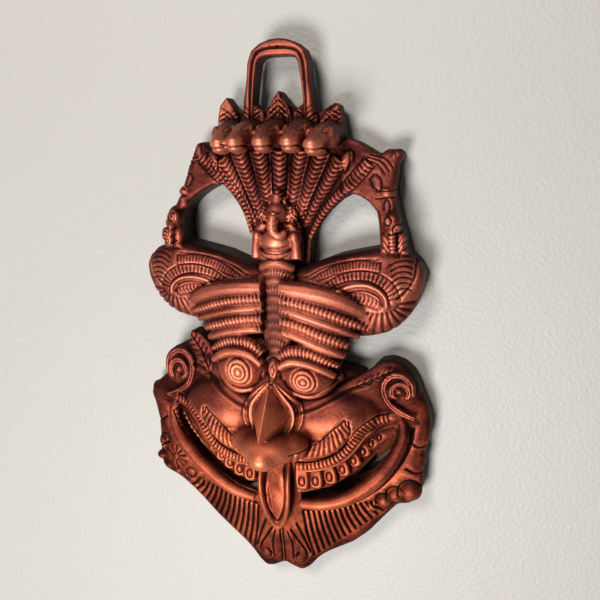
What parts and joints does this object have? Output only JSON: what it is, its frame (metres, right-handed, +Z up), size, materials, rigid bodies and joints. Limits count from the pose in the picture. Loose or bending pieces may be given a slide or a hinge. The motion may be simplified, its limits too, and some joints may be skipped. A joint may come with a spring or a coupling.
{
  "type": "evil eye mask",
  "caption": "Cast wall mask of a grinning guardian with ribbed brows, side wings and a fan of snakes, hung by a loop at its top.",
  "frame": {"origin": "the seat under the crown of the hanging loop, in the middle of the loop's depth, where a nail carries the mask", "axes": "+Z up along the mask, +X to the viewer's right, -Y out of the wall towards the viewer"},
  "size_m": [0.1848, 0.061, 0.3337],
  "materials": {
    "antique_brass": "cast brass with a red-brown antique lacquer, dark in the recesses and rubbed to satin copper orange on the high parts"
  },
  "bodies": {
    "root": {"mask": "antique_brass"}
  },
  "joints": []
}
